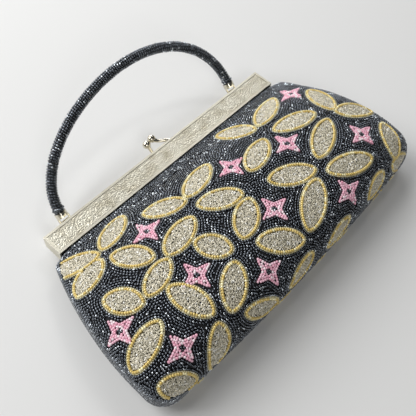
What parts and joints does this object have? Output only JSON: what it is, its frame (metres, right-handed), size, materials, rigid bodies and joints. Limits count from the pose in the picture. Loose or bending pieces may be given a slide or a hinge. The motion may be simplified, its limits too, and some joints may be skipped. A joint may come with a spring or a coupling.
{
  "type": "kiss lock frame purse",
  "caption": "Beaded purse on a hinged channel frame that a pair of crossing lock balls keeps shut, with a beaded carrying handle that swings on two knuckles.",
  "frame": {"origin": "On the surface that the purse lies on, under the middle of the frame's length and 70 mm below the frame's top edge, which is near the middle of the bag.", "axes": "+X runs along the frame, +Y points from the bag to the handle, +Z leaves the front face, away from the surface."},
  "size_m": [0.246, 0.1813, 0.0554],
  "materials": {
    "champagne_metal": "satin",
    "etched_metal": "hammered",
    "polished_metal": "polished",
    "steel_strip": "brushed",
    "paper_cord": "matte",
    "cotton_cord": "matte",
    "glass_beads": "gloss",
    "buckram": "matte",
    "satin_lining": "satin"
  },
  "bodies": {
    "bag": {"rear_frame_bar": "champagne_metal", "rear_face_plate": "etched_metal", "rear_arm_left": "steel_strip", "rear_arm_right": "steel_strip", "hinge_rivet_left": "steel_strip", "hinge_rivet_right": "steel_strip", "rear_channel_cord": "paper_cord", "rear_lock_stem": "polished_metal", "rear_lock_ball": "polished_metal", "handle_knuckle_left": "polished_metal", "handle_knuckle_right": "polished_metal", "rear_panel": "glass_beads", "front_fold": "glass_beads", "front_panel": "glass_beads", "gusset_left": "glass_beads", "gusset_right": "glass_beads", "rear_stiffener": "buckram", "front_stiffener": "buckram", "rear_lining": "satin_lining", "lining_fold": "satin_lining", "front_lining": "satin_lining", "inner_pocket": "satin_lining"},
    "front_frame": {"front_frame_bar": "champagne_metal", "front_face_plate": "etched_metal", "front_arm_left": "steel_strip", "front_arm_right": "steel_strip", "front_channel_cord": "paper_cord", "front_lock_stem": "polished_metal", "front_lock_ball": "polished_metal", "front_panel_top": "glass_beads", "lining_top": "satin_lining"},
    "handle": {"handle_bail_left": "polished_metal", "handle_bail_right": "polished_metal", "handle_cap_left": "polished_metal", "handle_cap_right": "polished_metal", "handle_core": "cotton_cord", "handle_beading": "glass_beads"}
  },
  "joints": [
    {"name": "front_frame_hinge", "type": "hinge", "parent": "bag", "child": "front_frame", "pos_m": [0, 0.025, 0.0125], "axis": [1, 0, 0], "range_deg": [0, 70], "deforming": ["front_fold", "lining_fold"]},
    {"name": "handle_hinge", "type": "hinge", "parent": "bag", "child": "handle", "pos_m": [0, 0.0745, 0.0086], "axis": [1, 0, 0], "range_deg": [-135, 45]}
  ]
}
